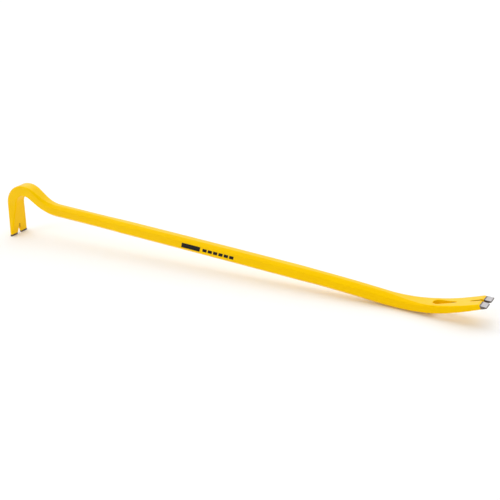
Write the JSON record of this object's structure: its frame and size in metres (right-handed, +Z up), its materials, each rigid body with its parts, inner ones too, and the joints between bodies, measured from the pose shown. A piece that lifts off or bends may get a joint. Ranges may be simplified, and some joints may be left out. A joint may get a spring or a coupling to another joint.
{
  "type": "gooseneck wrecking bar",
  "caption": "Forged steel pry bar with an eight-sided shank, a gooseneck nail claw at one end and a slotted, notched rocker chisel at the other, powder coated.",
  "frame": {"origin": "bottom centre of the bar's box, on the surface that its hook tines and heel stand on", "axes": "+X along the bar towards the chisel end, +Y across it towards the unprinted side, +Z up, in the plane of the bends"},
  "size_m": [0.9158, 0.0406, 0.1017],
  "materials": {
    "bare_steel": "ground",
    "yellow_powder_coat": "semi-gloss powder coat",
    "black_ink": "printed"
  },
  "bodies": {
    "root": {"forged_bar": "bare_steel", "powder_coat": "yellow_powder_coat", "printed_badge": "black_ink", "printed_bar_1": "black_ink", "printed_bar_2": "black_ink", "printed_bar_3": "black_ink", "printed_bar_4": "black_ink", "printed_bar_5": "black_ink", "printed_bar_6": "black_ink"}
  },
  "joints": []
}
